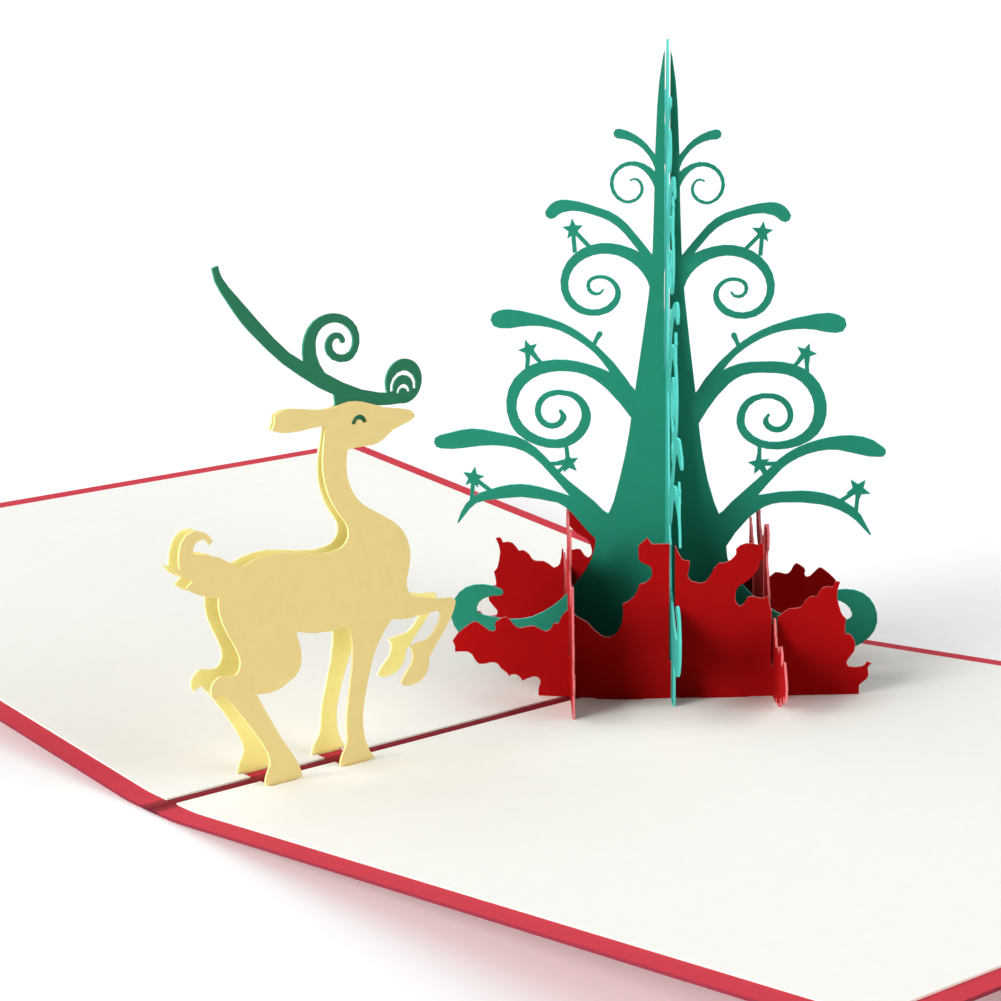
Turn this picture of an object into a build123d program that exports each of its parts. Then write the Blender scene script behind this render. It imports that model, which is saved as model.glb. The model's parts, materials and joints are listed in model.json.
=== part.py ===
from build123d import *
import os
from enum import Enum
from math import cos, radians, sin

# Opened greeting card, in millimetres and degrees. The fold runs along X, the leaves spread
# to +Y and -Y, and the card rests on the flat strip under its fold at Z = 0.

# Card
leaf_length = 150.0
leaf_width = 150.0
cover_sheet = 0.5
liner_sheet = 0.3
popup_sheet = 0.4
border = 4.0
fold_gap = 2.8
spine_flat = 8.0
bend_radius = 55.0
leaf_rise = 5.25
score_width = 0.8
score_depth = 0.2

# Fits
glue_gap = 0.05
slot_play = 0.6
slit_play = 0.6

# Lattice of crossed sheets
tree_x = 32.7
lattice_angle = 50.5
lattice_pitch = 17.4
half_slot_level = 7.5
tree_slot_level = 55.0
tab_width = 8.0
tab_offset = 9.0
branch_lift = 6.0
back_panel_tilt = 6.0
back_wing_share = 0.78

# Reindeer
foot_spread = 8.0
head_bend = 53.0
foot_notches = ((-55.4, -50.4), (-41.0, -36.0))

# Ornament
star_waist = 0.45
star_points = 5
star_leg = 0.7
facet_sag = 0.08
tip_turns = (45.0, 0.0, -45.0)
trunk_tip = 111.0
trunk_shoulder = (0.8, 108.0)

# Heights worked out from the sheets
cover_top = cover_sheet
liner_low = cover_top + glue_gap
liner_top = liner_low + liner_sheet
stand_level = liner_top + glue_gap
tab_depth = stand_level - cover_top - glue_gap

# Limits of the cutting bodies, larger than any piece
reach_up = 200.0
reach_down = 8.0
trim_depth = 20.0

half_flat = spine_flat / 2
rise = radians(leaf_rise)

# Tree outline, as (along, up, width) stations down each strip. Both halves share the top tiers,
# and each half has its own trunk side and lower branches. A half is drawn to the right.
top_leaves = (
    [(1.0, 88.4, 1.8), (3.0, 92.0, 1.0), (4.6, 93.6, 1.1), (6.6, 94.7, 1.4), (8.4, 95.1, 1.7)],
    [(2.6, 73.2, 1.6), (6.6, 78.3, 1.4), (9.4, 80.7, 1.5), (12.5, 81.9, 1.5), (16.0, 82.7, 1.7),
     (18.9, 82.4, 2.3), (20.1, 81.4, 2.1)],
)
top_scrolls = (
    [(0.4, 84.6, 3.4), (3.1, 88.8, 1.2), (5.3, 90.0, 0.8), (7.8, 89.6, 0.7), (9.5, 87.4, 0.6),
     (9.1, 84.9, 0.6), (7.2, 83.5, 0.5), (5.2, 84.0, 0.5), (4.3, 85.8, 0.5), (5.1, 87.3, 0.4),
     (6.3, 87.2, 0.3)],
    [(1.5, 70.6, 4.6), (6.2, 74.4, 2.1), (10.6, 75.45, 1.85), (14.6, 74.4, 1.75), (17.3, 71.6, 1.5),
     (17.7, 67.8, 1.3), (15.6, 64.95, 1.25), (12.6, 64.2, 1.1), (9.8, 65.2, 1.2), (8.45, 67.9, 0.95),
     (9.4, 69.7, 0.7), (11.6, 70.5, 0.6), (13.6, 69.5, 0.65), (13.3, 67.9, 0.6), (11.9, 67.5, 0.5),
     (11.1, 68.2, 0.35)],
)
top_stars = ((16.3, 78.6, 1.9, 85.0, ((16.0, 74.6), (13.2, 75.4))),)

left_trunk = (
    [(1.5, 103.0), (1.85, 98.0), (2.2, 85.0), (2.85, 70.0), (4.3, 59.0), (5.6, 50.0), (7.1, 40.0),
     (8.2, 35.0), (9.4, 30.5), (10.9, 27.4)],
    [(13.2, 26.6)],
    [(12.5, 24.0), (13.4, 20.0), (15.4, 16.6), (19.0, 12.4), (24.0, 9.2)],
)
left_branches = (
    [(6.2, 48.6, 3.0), (9.8, 55.0, 1.5), (12.4, 57.8, 1.2), (15.2, 59.9, 1.3), (18.6, 61.7, 1.4),
     (22.7, 62.7, 2.0), (26.0, 62.9, 2.9), (28.2, 62.8, 3.4), (29.4, 62.7, 3.1)],
    [(12.9, 58.2, 0.8), (12.3, 59.5, 0.7), (11.7, 60.5, 1.0)],
    [(11.4, 26.6, 3.4), (15.0, 31.0, 2.4), (18.0, 33.8, 1.6), (21.2, 37.2, 1.4), (24.2, 39.8, 1.7),
     (27.0, 41.0, 2.1), (30.0, 41.4, 2.3), (33.5, 41.6, 3.1), (37.0, 41.1, 3.2), (40.2, 40.6, 2.4)],
    [(4.7, 46.9, 3.6), (9.4, 51.9, 3.0), (13.6, 54.1, 2.0), (18.5, 54.85, 2.05), (23.3, 53.8, 2.2),
     (26.5, 50.9, 2.1), (27.4, 47.0, 1.75), (26.0, 43.4, 1.8), (22.4, 41.2, 1.6), (18.3, 41.0, 1.6),
     (15.1, 43.2, 1.75), (14.1, 46.2, 1.6), (15.6, 49.1, 1.15), (18.6, 50.05, 0.9), (21.6, 49.1, 1.05),
     (22.7, 46.5, 1.05), (21.5, 44.4, 1.0), (19.6, 44.1, 1.0), (18.2, 45.3, 1.1), (18.7, 46.8, 0.5)],
    [(10.5, 25.6, 5.0), (15.4, 29.4, 3.2), (18.5, 31.0, 1.9), (21.7, 31.75, 2.1), (25.5, 32.25, 2.3),
     (29.0, 31.85, 2.2), (32.2, 31.1, 1.7), (34.3, 30.2, 1.3), (35.9, 28.4, 1.0), (37.2, 26.1, 0.3)],
    [(10.0, 9.0, 9.0), (20.0, 6.6, 7.4), (27.0, 5.6, 6.0), (33.0, 6.2, 6.0), (36.4, 9.2, 4.9),
     (35.2, 12.5, 3.8), (32.2, 13.7, 2.3), (29.8, 13.5, 1.2)],
)
left_stars = (
    (24.2, 57.4, 1.9, 70.0, ((24.6, 53.6), (21.8, 54.9))),
    (17.3, 37.5, 2.0, 80.0, ((17.7, 40.6), (19.5, 35.5), (20.6, 37.2))),
    (34.4, 34.3, 2.0, 100.0, ((34.7, 30.3), (31.0, 31.8))),
)

right_trunk = (
    [(1.5, 103.0), (1.85, 98.0), (2.2, 85.0), (2.85, 70.0), (3.9, 60.0), (5.1, 50.0), (6.3, 40.0),
     (7.3, 35.0), (8.5, 31.0), (9.9, 27.6)],
    [(12.0, 26.6)],
    [(11.0, 25.4), (10.6, 23.0), (11.0, 20.6), (13.0, 17.2), (17.0, 13.4), (23.0, 10.4)],
)
right_branches = (
    [(5.8, 48.8, 3.0), (9.3, 55.2, 1.5), (11.9, 58.0, 1.2), (14.8, 60.2, 1.3), (18.4, 62.0, 1.4),
     (22.6, 63.1, 2.0), (26.0, 63.4, 2.9), (28.2, 63.25, 3.4), (29.3, 63.1, 3.1)],
    [(12.7, 58.4, 0.8), (12.1, 59.7, 0.7), (11.6, 60.8, 1.0)],
    [(10.4, 27.4, 3.4), (14.0, 32.2, 2.5), (17.2, 35.6, 1.8), (19.8, 38.4, 1.6), (22.6, 40.4, 1.7),
     (26.0, 41.8, 1.9), (29.0, 42.4, 2.3), (32.2, 42.35, 3.0), (35.2, 41.7, 3.0), (37.0, 41.1, 1.9)],
    [(4.3, 46.2, 3.4), (8.8, 52.3, 2.9), (13.0, 54.9, 2.1), (17.5, 55.4, 2.0), (22.2, 54.8, 2.1),
     (25.4, 52.2, 2.2), (26.6, 48.8, 2.2), (25.9, 45.2, 2.1), (23.6, 42.9, 1.7), (20.5, 41.8, 1.4),
     (17.4, 41.7, 1.3), (14.6, 42.8, 1.35), (13.0, 45.0, 1.4), (13.1, 47.4, 1.3), (14.6, 49.5, 1.1),
     (17.2, 50.4, 0.9), (20.2, 49.6, 1.0), (21.5, 47.0, 1.0), (20.5, 44.9, 1.0), (18.7, 44.5, 1.0),
     (17.3, 45.5, 1.0), (17.7, 47.0, 0.5)],
    [(8.8, 24.8, 4.6), (14.6, 30.8, 3.0), (18.0, 32.2, 2.0), (21.5, 32.7, 2.0), (25.0, 32.75, 2.1),
     (28.5, 32.2, 2.0), (31.3, 31.0, 1.7), (33.1, 29.7, 1.4), (34.4, 28.1, 0.8), (35.5, 26.5, 0.3)],
    [(10.0, 9.6, 9.0), (20.0, 7.6, 7.4), (26.4, 7.2, 5.4), (31.4, 8.2, 5.2), (34.8, 11.0, 4.6),
     (33.8, 14.2, 3.8), (31.0, 15.4, 2.3), (28.6, 15.2, 1.2)],
)
right_stars = (
    (24.0, 57.9, 1.9, 72.0, ((24.3, 54.2), (21.6, 55.2))),
    (16.2, 38.3, 2.0, 100.0, ((16.2, 41.6), (19.4, 38.5), (17.6, 35.9))),
    (33.3, 34.3, 2.2, 55.0, ((33.0, 30.4), (30.0, 32.0))),
)

# Leafy lattice panel, seen with its long free wing to the left: round within each stretch, with a
# corner where two stretches meet
panel_start = (-38.2, 9.2)
panel_outline = (
    [(-37.4, 10.4), (-35.8, 11.8), (-34.2, 12.7), (-32.4, 11.6), (-31.0, 11.1), (-30.5, 11.7)],
    [(-30.6, 12.8), (-29.9, 13.3), (-28.9, 13.8), (-27.5, 12.5), (-26.2, 11.9)],
    [(-25.1, 12.2), (-24.0, 12.4), (-22.8, 11.8), (-21.8, 11.5), (-20.9, 12.1), (-20.4, 13.0)],
    [(-19.6, 13.0)],
    [(-19.2, 14.0), (-18.0, 15.4), (-17.2, 15.5)],
    [(-16.6, 14.5), (-15.0, 13.7), (-13.5, 12.2), (-12.4, 11.3), (-11.2, 10.9), (-10.0, 11.3),
     (-9.0, 12.6), (-8.4, 14.8), (-8.5, 16.9)],
    [(-7.9, 17.2), (-6.8, 18.0), (-6.0, 19.3), (-5.6, 20.5)],
    [(-4.6, 20.8), (-3.7, 21.6), (-3.4, 22.7), (-3.8, 23.8), (-4.8, 24.2), (-5.6, 24.7), (-5.8, 25.8),
     (-5.8, 27.2)],
    [(-5.0, 28.0), (-4.3, 28.7)],
    [(-3.5, 27.6)],
    [(0.4, 27.8)],
    [(0.9, 26.4), (1.8, 25.1), (2.8, 25.0)],
    [(2.8, 23.5), (2.6, 22.3), (3.1, 21.5), (4.0, 21.2), (5.3, 21.2), (6.2, 22.0), (7.0, 23.7),
     (7.8, 24.7)],
    [(8.8, 24.8), (10.0, 25.4), (10.7, 26.2), (10.8, 27.3)],
    [(11.3, 27.8), (14.5, 28.1)],
    [(15.0, 28.6)],
    [(15.4, 28.2)],
    [(15.5, 26.0)],
    [(14.9, 25.3), (14.6, 24.2), (13.6, 22.6), (12.2, 21.5), (11.1, 20.6), (10.7, 19.2), (10.9, 17.9),
     (11.5, 17.4), (12.3, 18.0), (12.8, 19.0)],
    [(14.0, 19.1), (15.0, 18.9), (16.2, 19.4)],
    [(16.5, 17.8), (16.9, 16.6), (18.2, 15.9)],
    [(19.0, 16.7), (20.0, 17.3), (21.2, 17.4), (22.0, 17.8)],
    [(22.5, 18.8), (23.3, 19.5), (24.3, 19.5)],
    [(24.8, 20.4), (25.5, 21.2), (26.3, 21.4), (27.1, 21.3)],
    [(27.6, 22.3), (28.3, 22.2)],
    [(27.9, 20.9), (27.8, 19.5), (28.2, 18.0), (28.6, 16.8), (29.4, 15.9)],
    [(29.2, 14.5), (29.3, 13.3)],
    [(30.2, 13.1), (30.8, 12.3), (31.0, 11.2), (30.9, 10.4)],
    [(30.2, 9.4), (29.6, 8.2), (29.9, 7.6)],
    [(31.2, 7.5), (32.4, 7.8), (33.0, 8.6)],
    [(33.8, 8.3)],
    [(33.2, 7.0), (33.3, 6.2), (32.6, 5.2), (31.8, 4.5)],
    [(31.4, -reach_down)],
    [(-22.7, -reach_down)],
    [(-22.7, -0.6)],
    [(-23.2, 0.4), (-23.1, 1.4), (-22.8, 2.3), (-23.0, 3.1), (-23.8, 3.4), (-25.0, 3.0), (-26.0, 2.5)],
    [(-26.4, 3.2), (-27.2, 3.6), (-28.3, 3.2)],
    [(-28.8, 3.9), (-29.7, 4.5), (-30.1, 5.2), (-31.2, 5.6), (-32.4, 5.3), (-33.5, 5.2)],
    [(-34.2, 5.8), (-34.7, 6.7), (-35.6, 7.3), (-36.6, 7.3), (-37.8, 7.2)],
    [(-37.8, 8.3), (-38.2, 9.2)],
)

# Reindeer outline in its own sheet, from the nose over the back and round the legs
deer_nose = (-22.9, 53.8)
deer_outline = (
    [(-23.7, 54.95), (-25.2, 55.35), (-28.3, 55.9), (-32.9, 57.5), (-36.4, 57.9), (-39.1, 57.3),
     (-41.0, 57.2), (-46.0, 58.1), (-50.0, 57.7)],
    [(-50.15, 56.4)],
    [(-50.7, 55.3)],
    [(-49.6, 54.9), (-47.2, 54.5), (-44.5, 54.6), (-40.5, 54.7)],
    [(-41.2, 50.9), (-41.5, 48.0), (-40.8, 44.0), (-38.7, 40.1), (-37.3, 37.5), (-37.9, 35.7),
     (-40.6, 34.7), (-44.8, 35.0), (-50.7, 36.1), (-54.0, 36.1), (-57.5, 35.2)],
    [(-59.4, 35.8), (-61.4, 37.1), (-64.0, 38.0), (-66.4, 38.3)],
    [(-66.3, 39.7), (-65.2, 40.6), (-63.5, 39.5)],
    [(-62.8, 40.0)],
    [(-63.8, 41.3), (-65.6, 42.0), (-67.7, 41.4), (-68.9, 39.2), (-69.0, 36.6)],
    [(-70.5, 37.1)],
    [(-69.3, 35.9), (-66.9, 34.4)],
    [(-68.2, 33.6)],
    [(-66.8, 32.6), (-64.8, 31.7), (-62.4, 31.1)],
    [(-62.4, 28.2), (-61.4, 25.5), (-60.0, 22.8), (-59.3, 20.6), (-59.9, 18.9), (-61.4, 18.5),
     (-63.0, 18.9), (-64.6, 18.1), (-65.1, 16.7), (-64.5, 15.5)],
    [(-63.2, 16.2)],
    [(-61.4, 14.2), (-59.0, 11.0), (-56.9, 7.9), (-55.5, 5.3), (-55.1, 3.6), (-55.8, 2.0), (-56.2, 0.0)],
    [(-49.3, 0.0)],
    [(-50.0, 2.6), (-51.5, 4.9), (-54.5, 10.3), (-56.8, 14.9)],
    [(-53.4, 14.7), (-50.5, 15.6), (-48.5, 17.1), (-47.9, 19.4), (-48.3, 21.9), (-48.6, 23.3)],
    [(-45.0, 22.4), (-41.5, 22.1), (-38.4, 22.1)],
    [(-37.9, 18.5), (-38.5, 14.5), (-39.5, 10.0), (-40.1, 6.0), (-40.3, 3.4), (-41.3, 1.8), (-41.8, 0.0)],
    [(-35.0, 0.0)],
    [(-36.2, 2.0), (-36.9, 5.2), (-36.6, 8.6), (-35.6, 12.2), (-34.3, 16.0), (-32.1, 19.6), (-29.9, 21.9)],
    [(-26.4, 21.4), (-23.7, 21.5), (-20.1, 21.6)],
    [(-20.0, 20.5), (-21.1, 18.6), (-22.7, 17.3), (-24.6, 17.05), (-26.7, 16.8)],
    [(-26.0, 15.2), (-26.3, 14.0), (-27.6, 12.6), (-28.7, 11.0)],
    [(-28.0, 10.5), (-26.4, 10.4), (-24.6, 10.9), (-23.4, 12.1), (-22.9, 14.2)],
    [(-21.4, 15.9), (-19.0, 18.6), (-17.4, 20.8), (-16.7, 22.5)],
    [(-17.4, 23.2)],
    [(-20.9, 23.6), (-23.7, 24.3), (-25.6, 25.0), (-26.5, 26.6), (-26.3, 28.4), (-25.6, 30.5),
     (-25.5, 33.0), (-26.5, 35.6), (-28.8, 37.9), (-32.5, 40.1), (-35.3, 42.4), (-36.7, 45.2),
     (-37.0, 48.0), (-36.5, 50.4)],
    [(-33.7, 50.45), (-31.0, 50.5), (-29.0, 51.3), (-27.2, 52.4), (-25.0, 52.95), (-22.9, 53.8)],
)
eye = (-34.0, 54.1, 0.75, 1.55, 5.0, 170.0)

# Antlers: one long branch, one scroll and an end curl with two rainbow slots
antler_branch = [
    (-25.5, 57.2, 1.9), (-29.0, 57.4, 2.0), (-33.0, 58.3, 2.2), (-37.8, 60.3, 2.4), (-41.2, 62.2, 2.5),
    (-44.8, 64.4, 2.1), (-48.0, 66.7, 2.0), (-51.2, 69.8, 2.1), (-54.4, 73.2, 2.2), (-57.3, 76.8, 1.7),
    (-59.2, 79.5, 1.3), (-59.8, 81.5, 1.1),
]
antler_scroll = [
    (-41.0, 62.4, 2.2), (-42.7, 65.2, 2.5), (-42.9, 67.8, 2.3), (-41.8, 70.2, 1.9), (-39.3, 71.4, 1.5),
    (-36.4, 71.0, 1.4), (-34.3, 69.2, 1.3), (-33.9, 66.9, 1.2), (-35.1, 65.1, 1.2), (-37.0, 64.9, 1.2),
    (-38.7, 65.8, 1.2), (-39.2, 67.3, 1.2), (-38.3, 68.5, 1.0), (-37.1, 68.5, 0.9), (-36.5, 67.7, 0.9),
]
antler_curl = (-24.65, 59.75, 3.6)
antler_slots = ((-24.8, 58.8, 1.95, 2.7, -12.0, 204.0), (-24.8, 57.9, 0.8, 1.4, 0.0, 180.0))
antler_root = [(-38.4, 59.4), (-30.4, 57.4), (-30.6, 52.0), (-37.6, 52.0)]


def bend_end(lift):
    """Point of the leaf section where the bend beside the spine runs out."""
    radius = bend_radius - lift
    return (half_flat + radius * sin(rise), bend_radius - radius * cos(rise))


def leaf_point(distance, lift):
    """Point of the straight part of a leaf, at a distance from the fold along the sheet."""
    across, up = bend_end(lift)
    run = distance - half_flat - bend_radius * rise
    return (across + run * cos(rise), up + run * sin(rise))


def leaf_section(low, high, start, end):
    """Half section of a layer of the +Y leaf, between two lifts above the underside."""
    with BuildSketch(Plane.YZ) as section:
        with BuildLine():
            for lift in (low, high):
                Line((start, lift), (half_flat, lift))
                TangentArc((half_flat, lift), bend_end(lift), tangent=(1, 0))
                Line(bend_end(lift), leaf_point(end, lift))
            Line((start, low), (start, high))
            Line(leaf_point(end, low), leaf_point(end, high))
        make_face()
    return section.sketch


def facets(curve, low, high):
    """Points after the low end of a stretch of a smooth line, whose chords keep within facet_sag of it."""
    middle = (low + high) / 2
    sag = (curve @ middle - (curve @ low + curve @ high) / 2).length
    if sag <= facet_sag:
        return [curve @ high]
    return facets(curve, low, middle) + facets(curve, middle, high)


def smooth(points):
    """Corners of a smooth line through points, from the first to the last."""
    if len(points) == 2:
        return points
    curve = Edge.make_spline([Vector(*point) for point in points])
    spans = len(points) - 1
    corners = [curve @ 0]
    for span in range(spans):
        corners += facets(curve, span / spans, (span + 1) / spans)
    return corners


def flat_shape(corners):
    """Flat shape inside a closed line."""
    with BuildSketch() as shape:
        with BuildLine():
            Polyline(*corners, close=True)
        make_face()
    return shape.sketch


def ribbon(stations, round_tip=False):
    """Flat strip along a smooth line, from (along, up, width) stations."""
    points = [Vector(along, up) for along, up, _ in stations]
    left = []
    right = []
    for index, point in enumerate(points):
        before = points[max(index - 1, 0)]
        after = points[min(index + 1, len(points) - 1)]
        heading = (after - before).normalized()
        side = Vector(-heading.Y, heading.X) * (stations[index][2] / 2)
        left.append(point + side)
        right.append(point - side)
    tip = []
    if round_tip:
        for turn in tip_turns:
            tip.append(points[-1] + heading.rotate(Axis.Z, turn) * (stations[-1][2] / 2))
    return flat_shape([*smooth(left), *tip, *reversed(smooth(right))])


def chain(start, stretches):
    """Corners of a line through each stretch in turn, smooth within a stretch."""
    corners = [start]
    for stretch in stretches:
        corners += smooth([corners[-1], *stretch])[1:]
    return corners


def outline(start, stretches):
    """Closed shape whose last stretch comes back to its start."""
    return flat_shape(chain(start, stretches)[:-1])


def star(along, up, radius, turn):
    """Pointed star."""
    corners = []
    for corner in range(2 * star_points):
        length = radius if corner % 2 == 0 else radius * star_waist
        angle = radians(turn + 180 / star_points * corner)
        corners.append((along + length * cos(angle), up + length * sin(angle)))
    return flat_shape(corners)


def arch(along, up, inner, outer, start, sweep):
    """Rainbow-shaped opening between two arcs."""
    sides = []
    for radius in (inner, outer):
        curve = Edge.make_circle(radius, Plane((along, up, 0)), start, start + sweep)
        sides.append([curve @ 0, *facets(curve, 0, 1)])
    return flat_shape([*sides[0], *reversed(sides[1])])


def tree_half(trunk, leaves, branches, stars, lift):
    """Half of the tree, drawn to the right of its axis, with its branches lifted up the trunk."""
    side = chain(trunk_shoulder, trunk)
    foot = trunk[-1][-1][0]
    body = flat_shape([(0, trunk_tip), *side, (foot, -reach_down), (0, -reach_down)])
    pieces = [ribbon(strip, round_tip=True) for strip in (*leaves, *branches)]
    for along, up, radius, turn, feet in stars:
        pieces.append(star(along, up, radius, turn))
        pieces += [ribbon([(along, up, star_leg), (*place, star_leg)]) for place in feet]
    with BuildSketch() as half:
        add(body)
        with Locations((0, lift)):
            add(pieces)
    return half.sketch


def tree_shape(lift):
    """Whole tree outline: the left half turned over, and the right half."""
    left = (left_trunk, top_leaves, (*top_scrolls, *left_branches), (*top_stars, *left_stars))
    right = (right_trunk, top_leaves, (*top_scrolls, *right_branches), (*top_stars, *right_stars))
    with BuildSketch() as tree:
        add(tree_half(*left, lift))
        mirror(about=Plane.YZ, mode=Mode.REPLACE)
        add(tree_half(*right, lift))
    return tree.sketch


across = Vector(cos(radians(lattice_angle)), -sin(radians(lattice_angle)), 0)
along = Vector(cos(radians(lattice_angle)), sin(radians(lattice_angle)), 0)
upright = Vector(0, 0, 1)
tree_axis = Vector(tree_x, 0, stand_level)


def lattice_plane(direction, shift):
    """Upright plane of a lattice sheet that runs in a direction, shifted from the tree's axis."""
    return Plane(origin=tree_axis + shift, x_dir=direction, z_dir=direction.cross(upright))


def panel_shape(wing_share):
    """Lattice panel whose free wing, beyond the left slot, has a share of the full wing's length."""
    slot = -lattice_pitch
    stretches = [
        [(slot + (reach - slot) * wing_share if reach < slot else reach, up) for reach, up in stretch]
        for stretch in ([panel_start], *panel_outline)
    ]
    return outline(stretches[0][0], stretches[1:])


class Cut(Enum):
    """Where a half slot starts from."""

    TOP = "top"
    BELOW = "below"


# Each lattice sheet: its plane, its outline, whether it is turned over, how far it tilts in its
# plane, and where its middle slot and its two outer slots start from
tree = tree_shape(0)
lifted_tree = tree_shape(branch_lift)
panel = panel_shape(1)
back_panel = panel_shape(back_wing_share)
lattice = {
    "tree_across": (lattice_plane(across, along * 0), tree, False, 0, Cut.TOP, Cut.BELOW),
    "tree_along": (lattice_plane(along, across * 0), lifted_tree, False, 0, Cut.BELOW, Cut.BELOW),
    "panel_front": (lattice_plane(across, along * -lattice_pitch), panel, False, 0, Cut.TOP, Cut.TOP),
    "panel_back": (
        lattice_plane(across, along * lattice_pitch), back_panel, True, back_panel_tilt, Cut.TOP, Cut.TOP,
    ),
    "panel_left": (lattice_plane(along, across * -lattice_pitch), panel, True, 0, Cut.TOP, Cut.BELOW),
    "panel_right": (lattice_plane(along, across * lattice_pitch), panel, False, 0, Cut.TOP, Cut.BELOW),
}


def cut_slot(position, level, start):
    """Half slot in the sheet being drawn, from one edge to a level, for the sheet that crosses there."""
    if start == Cut.TOP:
        low, high = level - slot_play / 2, reach_up
    else:
        low, high = -reach_down, level + slot_play / 2
    with Locations((position, (low + high) / 2)):
        Rectangle(popup_sheet + slot_play, high - low, mode=Mode.SUBTRACT)


# Everything under the liners and under the cover's inner face, to trim the standing sheets
with BuildPart() as under_liner:
    extrude(leaf_section(-trim_depth, stand_level, 0, leaf_width), amount=leaf_length, both=True)
    mirror(about=Plane.XZ)

with BuildPart() as under_cover:
    extrude(leaf_section(-trim_depth, cover_top + glue_gap, 0, leaf_width), amount=leaf_length, both=True)
    mirror(about=Plane.XZ)

# Slits in the liners for the tabs of the lattice sheets
with BuildPart() as slits:
    for plane, *_ in lattice.values():
        with BuildSketch(plane):
            with Locations((-tab_offset, 0), (tab_offset, 0)):
                Rectangle(tab_width + slit_play, reach_up)
        extrude(amount=(popup_sheet + slit_play) / 2, both=True)

# Notches in the liners at the feet
with BuildPart() as notches:
    with BuildSketch():
        for left, right in foot_notches:
            with Locations(((left + right) / 2, 0)):
                Rectangle(right - left, foot_spread + popup_sheet + slit_play)
    extrude(amount=reach_up)

os.makedirs("parts", exist_ok=True)


def finish(name, part):
    """Label a piece and write it."""
    part.label = name
    export_step(part, f"parts/{name}.step")


# Cover: one folded sheet with a score along the fold
with BuildPart() as cover:
    extrude(leaf_section(0, cover_top, 0, leaf_width), amount=leaf_length / 2, both=True)
    with BuildSketch(Plane.YZ):
        with BuildLine():
            Polyline((0, cover_top), (score_width / 2, cover_top), (0, cover_top - score_depth), close=True)
        make_face()
    extrude(amount=leaf_length / 2, both=True, mode=Mode.SUBTRACT)
    mirror(about=Plane.XZ)
finish("cover", cover.part)

# Liners: one pale sheet glued in each leaf
for name, turned in (("liner_far", False), ("liner_near", True)):
    with BuildPart() as liner:
        section = leaf_section(liner_low, liner_top, fold_gap / 2, leaf_width - border)
        extrude(section, amount=leaf_length / 2 - border, both=True)
        if turned:
            mirror(about=Plane.XZ, mode=Mode.REPLACE)
        add(notches.part, mode=Mode.SUBTRACT)
        add(slits.part, mode=Mode.SUBTRACT)
    finish(name, liner.part)

# Lattice sheets: trees and panels, half slotted into each other, with tabs through the liners
for name, (plane, shape, turned_over, tilt, middle_cut, outer_cut) in lattice.items():
    middle_level = tree_slot_level if shape in (tree, lifted_tree) else half_slot_level
    with BuildPart() as ground:
        add(under_liner.part)
        with BuildSketch(plane):
            with Locations((-tab_offset, 0), (tab_offset, 0)):
                Rectangle(tab_width, 2 * reach_down)
        extrude(amount=popup_sheet, both=True, mode=Mode.SUBTRACT)
        add(under_cover.part)
    with BuildPart() as sheet:
        with BuildSketch(plane.offset(-popup_sheet / 2)):
            add(shape.mirror(Plane.YZ).rotate(Axis.Z, tilt) if turned_over else shape)
            cut_slot(0, middle_level, middle_cut)
            for position in (-lattice_pitch, lattice_pitch):
                cut_slot(position, half_slot_level, outer_cut)
        extrude(amount=popup_sheet)
        add(ground.part, mode=Mode.SUBTRACT)
    # An offcut beside a slot is dropped
    finish(name, sheet.part.solids().sort_by(SortBy.VOLUME)[-1])

# Reindeer: two sheets that lean from the feet to the head, one each side of the antlers
standing_plane = Plane(origin=(0, 0, stand_level), x_dir=(1, 0, 0), z_dir=(0, -1, 0))
head_offset = popup_sheet + glue_gap
for name, side in (("deer_near", -1), ("deer_far", 1)):
    foot_y = side * foot_spread / 2
    head_y = side * head_offset
    half = popup_sheet / 2
    bend_z = stand_level + head_bend
    with BuildPart() as deer:
        with BuildSketch(standing_plane.offset(-foot_spread)):
            add(outline(deer_nose, deer_outline))
            add(arch(*eye), mode=Mode.SUBTRACT)
            for left, right in foot_notches:
                with Locations(((left + right) / 2, 0)):
                    Rectangle(right - left - slit_play, 2 * tab_depth)
        extrude(amount=2 * foot_spread)
        with BuildSketch(Plane.YZ):
            with BuildLine():
                Polyline(
                    (foot_y - half, 0), (foot_y + half, 0),
                    (head_y + half, bend_z), (head_y + half, reach_up),
                    (head_y - half, reach_up), (head_y - half, bend_z),
                    close=True,
                )
            make_face()
        extrude(amount=leaf_length, both=True, mode=Mode.INTERSECT)
    finish(name, deer.part)

# Antlers: one sheet glued between the two heads
with BuildPart() as antlers:
    with BuildSketch(standing_plane.offset(-popup_sheet / 2)):
        add(ribbon(antler_branch))
        add(ribbon(antler_scroll, round_tip=True))
        curl_along, curl_up, curl_radius = antler_curl
        with Locations((curl_along, curl_up)):
            Circle(curl_radius)
        for slot in antler_slots:
            add(arch(*slot), mode=Mode.SUBTRACT)
        with BuildLine():
            Polyline(*antler_root, close=True)
        make_face()
    extrude(amount=popup_sheet)
finish("antlers", antlers.part)
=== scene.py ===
"""Opened pop up card: paper finishes, a pale floor, soft light and the camera."""

import json
import logging
import math
from dataclasses import dataclass
from enum import Enum

import bmesh
import bpy
from mathutils import Matrix, Vector

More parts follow.
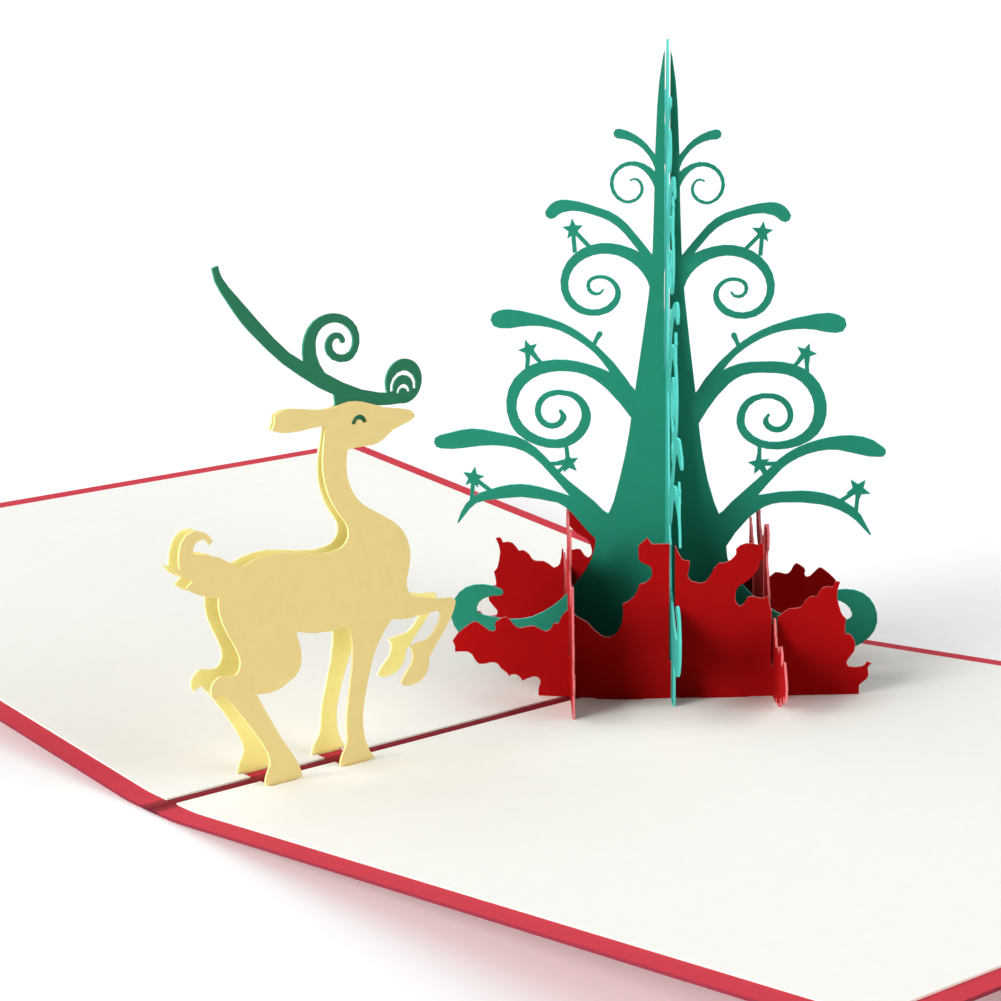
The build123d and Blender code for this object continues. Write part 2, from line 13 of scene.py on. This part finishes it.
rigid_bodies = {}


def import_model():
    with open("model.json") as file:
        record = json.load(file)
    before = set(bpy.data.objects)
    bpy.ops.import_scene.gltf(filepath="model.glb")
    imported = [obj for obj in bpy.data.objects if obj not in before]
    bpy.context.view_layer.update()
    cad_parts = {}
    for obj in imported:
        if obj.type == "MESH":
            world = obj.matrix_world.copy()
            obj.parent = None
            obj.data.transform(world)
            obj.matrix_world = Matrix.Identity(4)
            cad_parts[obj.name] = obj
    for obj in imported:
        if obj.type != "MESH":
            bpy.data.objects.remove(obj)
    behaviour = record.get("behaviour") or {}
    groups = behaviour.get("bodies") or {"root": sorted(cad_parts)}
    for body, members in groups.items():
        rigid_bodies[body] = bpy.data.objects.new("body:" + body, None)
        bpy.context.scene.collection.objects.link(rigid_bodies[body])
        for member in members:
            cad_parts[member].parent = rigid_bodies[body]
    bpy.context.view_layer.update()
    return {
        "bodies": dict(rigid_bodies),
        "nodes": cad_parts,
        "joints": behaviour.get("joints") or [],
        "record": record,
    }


log = logging.getLogger("pop_up_card")

Colour = tuple[float, float, float]
Direction = tuple[float, float, float]
Point = tuple[float, float, float]
Span = tuple[float, float]

# Turn of the lattice sheets from the fold
LATTICE_ANGLE = math.radians(50.5)
# Depth that light soaks into the paper, in metres
SOAK_DEPTH = 0.0017
WHOLE = (0.0, 1.0)


class Facing(Enum):
    """Way that the face of a flat sheet looks, which tells its faces from its cut edges."""

    UP = (0.0, 0.0, 1.0)
    NEAR = (0.0, -1.0, 0.0)
    ACROSS = (-math.sin(LATTICE_ANGLE), -math.cos(LATTICE_ANGLE), 0.0)
    ALONG = (-math.sin(LATTICE_ANGLE), math.cos(LATTICE_ANGLE), 0.0)


@dataclass(frozen=True, kw_only=True)
class PaperFinish:
    """Looks of one dyed paper.

    Attributes:
        name: Material name.
        face: Colour of the sheet's faces.
        edge: Colour of its cut edges; on the cover it holds painted shade, on the green paper a
            painted highlight.
        pale: Colour of the paler fibres that show on the faces.
        roughness: Roughness of the faces.
        gloss: Specular level of the faces.
        grain: Share of pale fibres on the faces.
        cloud: Depth of the soft light and dark clouds in the dye.
        tooth: Depth of the surface tooth, in metres.
        fibre_scale: Fibres per metre.
        sheen: Strength of the soft sheen at grazing angles.
        sheen_tint: Colour of that sheen.
        crease: Share of the colour that is left in the fold, where shade is painted in; 1 where the
            sheet has no fold.
        soak: Share of the light that soaks through the sheet.
    """

    name: str
    face: Colour
    edge: Colour
    pale: Colour
    roughness: float
    gloss: float
    grain: float
    cloud: float
    tooth: float = 0.000012
    fibre_scale: float
    sheen: float = 0.0
    sheen_tint: Colour = (1.0, 1.0, 1.0)
    crease: float = 1.0
    soak: float = 0.0


RED_CARD = PaperFinish(
    name="red_card",
    face=(0.600, 0.042, 0.066),
    # Painted shade: the cover's cut edge is darkened to stand in for the shade on its edge and
    # underside.
    edge=(0.250, 0.024, 0.044),
    pale=(0.680, 0.110, 0.130),
    roughness=0.66,
    gloss=0.10,
    grain=0.12,
    cloud=0.03,
    fibre_scale=2600.0,
    # Painted shade: the colour is darkened along the fold, where the groove lies in shadow.
    crease=0.40,
)
PALE_PAPER = PaperFinish(
    name="pale_paper",
    face=(0.940, 0.930, 0.885),
    edge=(0.900, 0.880, 0.800),
    pale=(0.960, 0.955, 0.925),
    roughness=0.85,
    gloss=0.15,
    grain=0.20,
    cloud=0.008,
    fibre_scale=2400.0,
)
# Near reindeer sheet: the far sheet's yellow paper with its face darkened to khaki, partly the
# paper's other side and partly painted shade.
KHAKI_PAPER = PaperFinish(
    name="khaki_paper",
    face=(0.770, 0.615, 0.250),
    edge=(0.880, 0.730, 0.310),
    pale=(0.820, 0.680, 0.320),
    roughness=0.80,
    gloss=0.15,
    grain=0.16,
    cloud=0.018,
    fibre_scale=2800.0,
)
YELLOW_PAPER = PaperFinish(
    name="yellow_paper",
    face=(0.960, 0.738, 0.265),
    edge=(0.955, 0.800, 0.350),
    pale=(0.960, 0.795, 0.340),
    roughness=0.80,
    gloss=0.15,
    grain=0.16,
    cloud=0.018,
    fibre_scale=2800.0,
    soak=1.0,
)
GREEN_PAPER = PaperFinish(
    name="green_paper",
    face=(0.010, 0.196, 0.123),
    # Partly the paler cut edge of the paper, partly a painted highlight of the light on the edges.
    edge=(0.090, 0.560, 0.500),
    pale=(0.025, 0.290, 0.200),
    roughness=0.62,
    gloss=0.12,
    grain=0.16,
    cloud=0.035,
    fibre_scale=3000.0,
    sheen=0.8,
    sheen_tint=(0.12, 0.85, 0.78),
)
ANTLER_PAPER = PaperFinish(
    name="antler_paper",
    face=(0.020, 0.165, 0.083),
    edge=(0.040, 0.280, 0.170),
    pale=(0.035, 0.230, 0.130),
    roughness=0.66,
    gloss=0.12,
    grain=0.16,
    cloud=0.035,
    fibre_scale=3000.0,
)
RED_PAPER = PaperFinish(
    name="red_paper",
    face=(0.325, 0.0022, 0.0026),
    edge=(0.720, 0.170, 0.180),
    pale=(0.400, 0.007, 0.008),
    roughness=0.74,
    gloss=0.05,
    grain=0.14,
    cloud=0.035,
    fibre_scale=2800.0,
)


def reckon(
    tree: bpy.types.NodeTree, operation: str, *terms: bpy.types.NodeSocket | float
) -> bpy.types.NodeSocket:
    """Work out a value from other values.

    Args:
        tree: Node tree to work in.
        operation: Name of the operation.
        *terms: Sockets or numbers that it takes, in order.

    Returns:
        Socket with the result.
    """
    node = tree.nodes.new("ShaderNodeMath")
    node.operation = operation
    for slot, term in zip(node.inputs, terms):
        if isinstance(term, float):
            slot.default_value = term
        else:
            tree.links.new(term, slot)
    return node.outputs["Value"]


def ranged(
    tree: bpy.types.NodeTree,
    value: bpy.types.NodeSocket,
    source: Span = WHOLE,
    result: Span = WHOLE,
    easing: str = "LINEAR",
) -> bpy.types.NodeSocket:
    """Carry a value from one range to another and hold it at the ends.

    Args:
        tree: Node tree to work in.
        value: Value to carry over.
        source: Values that give the first and the last result.
        result: First and last result.
        easing: Way from the first to the last.

    Returns:
        Socket with the result.
    """
    node = tree.nodes.new("ShaderNodeMapRange")
    node.interpolation_type = easing
    node.inputs["From Min"].default_value, node.inputs["From Max"].default_value = source
    node.inputs["To Min"].default_value, node.inputs["To Max"].default_value = result
    tree.links.new(value, node.inputs["Value"])
    return node.outputs["Result"]


def shared_group(
    name: str, vectors: tuple[str, ...], numbers: tuple[str, ...], results: tuple[str, ...]
) -> tuple[bpy.types.NodeTree, bpy.types.Node, bpy.types.Node]:
    """Start a node group that several papers use.

    Args:
        name: Name of the group.
        vectors: Names of the inputs that are vectors.
        numbers: Names of the inputs that are numbers.
        results: Names of the outputs.

    Returns:
        The group, the node with its inputs and the node with its outputs.
    """
    group = bpy.data.node_groups.new(name, "ShaderNodeTree")
    for label in vectors:
        group.interface.new_socket(label, in_out="INPUT", socket_type="NodeSocketVector")
    for label in numbers:
        group.interface.new_socket(label, in_out="INPUT", socket_type="NodeSocketFloat")
    for label in results:
        group.interface.new_socket(label, in_out="OUTPUT", socket_type="NodeSocketFloat")
    return group, group.nodes.new("NodeGroupInput"), group.nodes.new("NodeGroupOutput")


class FibreGroup:
    """Shared node group: paper fibres, dye clouds and tooth from a position."""

    NAME = "paper_fibre"
    STRAND_DETAIL = 3.0
    STRAND_ROUGHNESS = 0.6
    STRAND_TWIST = 1.6
    RIDGE = (0.56, 0.72)
    CLOUD_SHARE = 0.16
    CLOUD_DETAIL = 4.0
    GRIT_SHARE = 2.2
    GRIT_DETAIL = 2.0
    STRAND_WEIGHT = 0.5

    def build(self) -> bpy.types.NodeTree:
        """Make the group once.

        Returns:
            Group with inputs Position and Fibres, and outputs Fibre, Cloud and Tooth.
        """
        group, start, end = shared_group(
            self.NAME, ("Position",), ("Fibres",), ("Fibre", "Cloud", "Tooth")
        )
        place = start.outputs["Position"]
        fibres = start.outputs["Fibres"]

        strands = self._noise(group, place, fibres, self.STRAND_DETAIL)
        strands.inputs["Roughness"].default_value = self.STRAND_ROUGHNESS
        strands.inputs["Distortion"].default_value = self.STRAND_TWIST
        strand = strands.outputs["Fac"]
        group.links.new(ranged(group, strand, source=self.RIDGE), end.inputs["Fibre"])

        cloud_scale = reckon(group, "MULTIPLY", fibres, self.CLOUD_SHARE)
        clouds = self._noise(group, place, cloud_scale, self.CLOUD_DETAIL)
        group.links.new(clouds.outputs["Fac"], end.inputs["Cloud"])

        grit_scale = reckon(group, "MULTIPLY", fibres, self.GRIT_SHARE)
        grit = self._noise(group, place, grit_scale, self.GRIT_DETAIL)
        tooth = reckon(group, "MULTIPLY_ADD", strand, self.STRAND_WEIGHT, grit.outputs["Fac"])
        group.links.new(tooth, end.inputs["Tooth"])
        return group

    @staticmethod
    def _noise(
        group: bpy.types.NodeTree,
        place: bpy.types.NodeSocket,
        scale: bpy.types.NodeSocket,
        detail: float,
    ) -> bpy.types.Node:
        """Add a noise to the group.

        Args:
            group: Group to add it to.
            place: Position that it reads.
            scale: How fine it is, per metre.
            detail: Steps of finer noise in it.

        Returns:
            The noise.
        """
        noise = group.nodes.new("ShaderNodeTexNoise")
        noise.inputs["Detail"].default_value = detail
        group.links.new(place, noise.inputs["Vector"])
        group.links.new(scale, noise.inputs["Scale"])
        return noise


class CutEdgeGroup:
    """Shared node group: mask of a flat sheet's cut edges."""

    NAME = "cut_edge"
    FACE_TURN = 0.7
    EDGE_TURN = 0.5

    def build(self) -> bpy.types.NodeTree:
        """Make the group once.

        Returns:
            Group with inputs Normal and Facing, and an output Edge that is 1 on cut edges.
        """
        group, start, end = shared_group(self.NAME, ("Normal", "Facing"), (), ("Edge",))
        turn = group.nodes.new("ShaderNodeVectorMath")
        turn.operation = "DOT_PRODUCT"
        group.links.new(start.outputs["Normal"], turn.inputs[0])
        group.links.new(start.outputs["Facing"], turn.inputs[1])
        size = reckon(group, "ABSOLUTE", turn.outputs["Value"])
        mask = ranged(group, size, source=(self.FACE_TURN, self.EDGE_TURN))
        group.links.new(mask, end.inputs["Edge"])
        return group


class FoldShadeGroup:
    """Node group: mask of the fold along the X axis, where shade is painted into the colour."""

    NAME = "painted_fold_shade_mask"
    INNER = 0.0012
    OUTER = 0.0030

    def build(self) -> bpy.types.NodeTree:
        """Make the group once.

        Returns:
            Group with an input Position and an output Crease that is 1 in the fold, where shade is
            painted.
        """
        group, start, end = shared_group(self.NAME, ("Position",), (), ("Crease",))
        split = group.nodes.new("ShaderNodeSeparateXYZ")
        group.links.new(start.outputs["Position"], split.inputs["Vector"])
        aside = reckon(group, "ABSOLUTE", split.outputs["Y"])
        mask = ranged(group, aside, source=(self.OUTER, self.INNER), easing="SMOOTHSTEP")
        group.links.new(mask, end.inputs["Crease"])
        return group


class PaperStore:
    """Makes the paper materials, one for each finish and facing."""

    MIX_FACTOR = 0
    MIX_FIRST = 6
    MIX_SECOND = 7
    MIX_RESULT = 2
    CLOUD_SPAN = (0.3, 0.7)
    SMOOTHER = 0.06
    ROUGHER = 0.10
    BUMP_STRENGTH = 0.5

    def __init__(self) -> None:
        """Build the node groups."""
        self.fibre = FibreGroup().build()
        self.cut_edge = CutEdgeGroup().build()
        self.crease = FoldShadeGroup().build()
        self.made: dict[tuple[str, Facing], bpy.types.Material] = {}

    def material(self, finish: PaperFinish, facing: Facing) -> bpy.types.Material:
        """Give the material of a finish on sheets that face one way.

        Args:
            finish: Paper to make.
            facing: Way the sheet's face looks.

        Returns:
            The material, made on first use.
        """
        key = (finish.name, facing)
        if key not in self.made:
            self.made[key] = self._make(finish, facing)
        return self.made[key]

    def _make(self, finish: PaperFinish, facing: Facing) -> bpy.types.Material:
        """Build one paper material.

        Args:
            finish: Paper to make.
            facing: Way the sheet's face looks.

        Returns:
            The new material.
        """
        material = bpy.data.materials.new(f"{finish.name}_{facing.name.lower()}")
        material.use_nodes = True
        tree = material.node_tree
        shader = tree.nodes["Principled BSDF"]
        shader.inputs["Specular IOR Level"].default_value = finish.gloss
        shader.inputs["Sheen Weight"].default_value = finish.sheen
        shader.inputs["Sheen Tint"].default_value = (*finish.sheen_tint, 1.0)
        shader.inputs["Subsurface Weight"].default_value = finish.soak
        shader.inputs["Subsurface Radius"].default_value = (1.0, 1.0, 1.0)
        shader.inputs["Subsurface Scale"].default_value = SOAK_DEPTH

        place = tree.nodes.new("ShaderNodeTexCoord")
        fibre = self._group(tree, self.fibre)
        fibre.inputs["Fibres"].default_value = finish.fibre_scale
        tree.links.new(place.outputs["Object"], fibre.inputs["Position"])
        colour = self._dyed(tree, finish, fibre)
        colour = self._trimmed(tree, finish, facing, place, colour)
        # Painted shade along the fold, on papers that have it.
        if finish.crease < 1.0:
            colour = self._fold_shaded(tree, finish, place, colour)
        tree.links.new(colour, shader.inputs["Base Color"])
        self._surface(tree, finish, fibre, shader)
        return material

    @staticmethod
    def _group(tree: bpy.types.NodeTree, group: bpy.types.NodeTree) -> bpy.types.Node:
        """Add a shared group to a material.

        Args:
            tree: Node tree of the material.
            group: Group to add.

        Returns:
            The node that holds the group.
        """
        node = tree.nodes.new("ShaderNodeGroup")
        node.node_tree = group
        return node

    def _dyed(
        self, tree: bpy.types.NodeTree, finish: PaperFinish, fibre: bpy.types.Node
    ) -> bpy.types.NodeSocket:
        """Colour of the faces, with pale fibres and clouds in the dye.

        Args:
            tree: Node tree of the material.
            finish: Paper to make.
            fibre: Node with the fibre group.

        Returns:
            Socket with the colour.
        """
        grain = reckon(tree, "MULTIPLY", fibre.outputs["Fibre"], finish.grain)
        dyed = tree.nodes.new("ShaderNodeMix")
        dyed.data_type = "RGBA"
        dyed.inputs[self.MIX_FIRST].default_value = (*finish.face, 1.0)
        dyed.inputs[self.MIX_SECOND].default_value = (*finish.pale, 1.0)
        tree.links.new(grain, dyed.inputs[self.MIX_FACTOR])
        shades = (1.0 - finish.cloud, 1.0 + finish.cloud)
        shade = ranged(tree, fibre.outputs["Cloud"], source=self.CLOUD_SPAN, result=shades)
        return self._scaled(tree, dyed.outputs[self.MIX_RESULT], shade)

    def _trimmed(
        self,
        tree: bpy.types.NodeTree,
        finish: PaperFinish,
        facing: Facing,
        place: bpy.types.Node,
        colour: bpy.types.NodeSocket,
    ) -> bpy.types.NodeSocket:
        """Colour with the cut edges in their edge colour, which holds painted shade on the cover
        and a painted highlight on the tree.

        Args:
            tree: Node tree of the material.
            finish: Paper to make.
            facing: Way the sheet's face looks.
            place: Texture coordinates.
            colour: Colour of the faces.

        Returns:
            Socket with the colour.
        """
        edge = self._group(tree, self.cut_edge)
        edge.inputs["Facing"].default_value = facing.value
        tree.links.new(place.outputs["Normal"], edge.inputs["Normal"])
        trimmed = tree.nodes.new("ShaderNodeMix")
        trimmed.data_type = "RGBA"
        trimmed.inputs[self.MIX_SECOND].default_value = (*finish.edge, 1.0)
        tree.links.new(edge.outputs["Edge"], trimmed.inputs[self.MIX_FACTOR])
        tree.links.new(colour, trimmed.inputs[self.MIX_FIRST])
        return trimmed.outputs[self.MIX_RESULT]

    def _fold_shaded(
        self,
        tree: bpy.types.NodeTree,
        finish: PaperFinish,
        place: bpy.types.Node,
        colour: bpy.types.NodeSocket,
    ) -> bpy.types.NodeSocket:
        """Colour darkened in the fold, painted shade where the groove lies in shadow.

        Args:
            tree: Node tree of the material.
            finish: Paper to make.
            place: Texture coordinates.
            colour: Colour away from the fold.

        Returns:
            Socket with the colour.
        """
        fold = self._group(tree, self.crease)
        tree.links.new(place.outputs["Object"], fold.inputs["Position"])
        fold_shade_share = ranged(tree, fold.outputs["Crease"], result=(1.0, finish.crease))
        return self._scaled(tree, colour, fold_shade_share)

    @staticmethod
    def _scaled(
        tree: bpy.types.NodeTree, colour: bpy.types.NodeSocket, share: bpy.types.NodeSocket
    ) -> bpy.types.NodeSocket:
        """Colour times a share.

        Args:
            tree: Node tree of the material.
            colour: Colour to scale.
            share: Share of it to keep.

        Returns:
            Socket with the scaled colour.
        """
        scaled = tree.nodes.new("ShaderNodeVectorMath")
        scaled.operation = "SCALE"
        tree.links.new(colour, scaled.inputs[0])
        tree.links.new(share, scaled.inputs["Scale"])
        return scaled.outputs["Vector"]

    def _surface(
        self,
        tree: bpy.types.NodeTree,
        finish: PaperFinish,
        fibre: bpy.types.Node,
        shader: bpy.types.Node,
    ) -> None:
        """Give the shader its roughness and tooth.

        Args:
            tree: Node tree of the material.
            finish: Paper to make.
            fibre: Node with the fibre group.
            shader: Shader of the material.
        """
        tooth = fibre.outputs["Tooth"]
        span = (finish.roughness - self.SMOOTHER, finish.roughness + self.ROUGHER)
        tree.links.new(ranged(tree, tooth, result=span), shader.inputs["Roughness"])
        bump = tree.nodes.new("ShaderNodeBump")
        bump.inputs["Strength"].default_value = self.BUMP_STRENGTH
        bump.inputs["Distance"].default_value = finish.tooth
        tree.links.new(tooth, bump.inputs["Height"])
        tree.links.new(bump.outputs["Normal"], shader.inputs["Normal"])


@dataclass
class SheetWork:
    """A group of sheets that are cut from the same paper.

    Attributes:
        label: Name for the log.
        finish: Paper they are cut from.
        sheets: Node name and facing of each sheet.
    """

    label: str
    finish: PaperFinish
    sheets: dict[str, Facing]

    def dress(self, frame: dict, store: PaperStore) -> None:
        """Give each sheet its paper.

        Args:
            frame: Loaded frame.
            store: Source of the materials.
        """
        for name, facing in self.sheets.items():
            node = frame["nodes"][name]
            paper = store.material(self.finish, facing)
            node.data.materials.clear()
            node.data.materials.append(paper)
            log.info("%s: %s in %s", self.label, name, paper.name)


CARD_WORK = (
    SheetWork("cover", RED_CARD, {"cover": Facing.UP}),
    SheetWork("liners", PALE_PAPER, {"liner_near": Facing.UP, "liner_far": Facing.UP}),
    SheetWork("near reindeer sheet", KHAKI_PAPER, {"deer_near": Facing.NEAR}),
    SheetWork("far reindeer sheet", YELLOW_PAPER, {"deer_far": Facing.NEAR}),
    SheetWork("antlers", ANTLER_PAPER, {"antlers": Facing.NEAR}),
    SheetWork("tree", GREEN_PAPER, {"tree_across": Facing.ACROSS, "tree_along": Facing.ALONG}),
    SheetWork(
        "lattice panels",
        RED_PAPER,
        {
            "panel_front": Facing.ACROSS,
            "panel_back": Facing.ACROSS,
            "panel_left": Facing.ALONG,
            "panel_right": Facing.ALONG,
        },
    ),
)


@dataclass(frozen=True)
class SoftLight:
    """A large even light, far away.

    Attributes:
        name: Object name.
        towards: Direction from the card to the light.
        share: Light it gives to a surface that faces it, where 1 shows a colour as written.
        spread: Angle that it fills, in degrees.
    """

    name: str
    towards: Direction
    share: float
    spread: float

    def build(self) -> None:
        """Make the light."""
        light = bpy.data.lights.new(self.name, "SUN")
        light.energy = self.share * math.pi
        light.angle = math.radians(self.spread)
        lamp = bpy.data.objects.new(self.name, light)
        lamp.rotation_euler = Vector(self.towards).to_track_quat("Z", "Y").to_euler()
        bpy.context.collection.objects.link(lamp)


@dataclass
class Studio:
    """Floor, light and background.

    Attributes:
        floor_size: Side of the floor, in metres.
        floor_drop: Floor's depth below the card.
        floor_white: Colour of the floor.
        floor_roughness: Roughness of the floor.
        floor_gloss: Specular level of the floor.
        floor_lift: Light that the floor adds in plain view.
        ambient: Strength of the light from all round.
        lights: Soft lights round the card.
    """

    floor_size: float = 14.0
    floor_drop: float = 0.0002
    floor_white: Colour = (0.90, 0.90, 0.90)
    floor_roughness: float = 0.9
    floor_gloss: float = 0.1
    floor_lift: float = 0.14
    ambient: float = 0.20
    lights: tuple[SoftLight, ...] = (
        SoftLight("left_light", towards=(-0.900, 0.100, 0.310), share=1.18, spread=40.0),
        SoftLight("front_light", towards=(0.550, -0.750, 0.360), share=0.64, spread=60.0),
        SoftLight("back_light", towards=(-0.150, 0.800, 0.550), share=0.36, spread=60.0),
    )

    def build(self) -> None:
        """Make the floor, the world and the lights."""
        self._floor()
        self._world()
        for light in self.lights:
            light.build()

    @staticmethod
    def _plain_view(tree: bpy.types.NodeTree) -> bpy.types.NodeSocket:
        """Mask of rays that look at the background straight, in a reflection or through glass.

        Args:
            tree: Node tree to add it to.

        Returns:
            Socket that is 1 for those rays.
        """
        rays = tree.nodes.new("ShaderNodeLightPath").outputs
        either = reckon(tree, "MAXIMUM", rays["Is Camera Ray"], rays["Is Glossy Ray"])
        return reckon(tree, "MAXIMUM", either, rays["Is Transmission Ray"])

    def _floor(self) -> None:
        """Make the pale floor, which keeps the card's shadow."""
        work = bmesh.new()
        bmesh.ops.create_grid(work, x_segments=1, y_segments=1, size=self.floor_size / 2)
        bmesh.ops.translate(work, verts=work.verts, vec=(0.0, 0.0, -self.floor_drop))
        mesh = bpy.data.meshes.new("floor")
        work.to_mesh(mesh)
        work.free()
        floor = bpy.data.objects.new("floor", mesh)
        bpy.context.collection.objects.link(floor)
        material = bpy.data.materials.new("floor_white")
        material.use_nodes = True
        tree = material.node_tree
        shader = tree.nodes["Principled BSDF"]
        shader.inputs["Base Color"].default_value = (*self.floor_white, 1.0)
        shader.inputs["Roughness"].default_value = self.floor_roughness
        shader.inputs["Specular IOR Level"].default_value = self.floor_gloss
        shader.inputs["Emission Color"].default_value = (1.0, 1.0, 1.0, 1.0)
        lift = reckon(tree, "MULTIPLY", self._plain_view(tree), self.floor_lift)
        tree.links.new(lift, shader.inputs["Emission Strength"])
        mesh.materials.append(material)

    def _world(self) -> None:
        """Make the even light from all round, seen as plain white."""
        world = bpy.data.worlds.new("studio")
        world.use_nodes = True
        bpy.context.scene.world = world
        tree = world.node_tree
        background = tree.nodes["Background"]
        background.inputs["Color"].default_value = (1.0, 1.0, 1.0, 1.0)
        strength = ranged(tree, self._plain_view(tree), result=(self.ambient, 1.0))
        tree.links.new(strength, background.inputs["Strength"])


@dataclass
class Viewpoint:
    """Camera at the photograph's viewing angle.

    Attributes:
        azimuth: Turn about the upright axis, in degrees.
        elevation: Height above level, in degrees.
        roll: Turn about the line of sight, in degrees.
        target: Point on the line of sight, in metres.
        distance: Distance from that point.
        focal_share: Focal length as a share of the image width.
        sensor: Sensor width, in millimetres.
        nearest: Nearest distance that is drawn, in metres.
        farthest: Farthest distance that is drawn, in metres.
    """

    azimuth: float = -39.448
    elevation: float = 13.010
    roll: float = -0.623
    target: Point = (-0.00484, 0.0, 0.0380)
    distance: float = 0.4516
    focal_share: float = 2.7195
    sensor: float = 36.0
    nearest: float = 0.01
    farthest: float = 50.0

    def build(self) -> None:
        """Make the camera and use it for the scene."""
        turn = math.radians(self.azimuth)
        lift = math.radians(self.elevation)
        tilt = math.radians(self.roll)
        back = Vector(
            (math.sin(turn) * math.cos(lift), -math.cos(turn) * math.cos(lift), math.sin(lift))
        )
        level = Vector((0.0, 0.0, 1.0)).cross(back).normalized()
        upright = back.cross(level)
        right = level * math.cos(tilt) + upright * math.sin(tilt)
        up = upright * math.cos(tilt) - level * math.sin(tilt)
        camera = bpy.data.cameras.new("camera")
        camera.sensor_width = self.sensor
        camera.sensor_fit = "HORIZONTAL"
        camera.lens = self.focal_share * self.sensor
        camera.clip_start = self.nearest
        camera.clip_end = self.farthest
        holder = bpy.data.objects.new("camera", camera)
        place = Matrix((right, up, back)).transposed().to_4x4()
        place.translation = Vector(self.target) + back * self.distance
        holder.matrix_world = place
        bpy.context.collection.objects.link(holder)
        bpy.context.scene.camera = holder


def main() -> None:
    """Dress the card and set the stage."""
    logging.basicConfig(level=logging.INFO, format="%(message)s")
    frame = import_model()
    bpy.context.scene.view_settings.view_transform = "Standard"
    store = PaperStore()
    for work in CARD_WORK:
        work.dress(frame, store)
    Studio().build()
    Viewpoint().build()


if __name__ == "__main__":
    main()
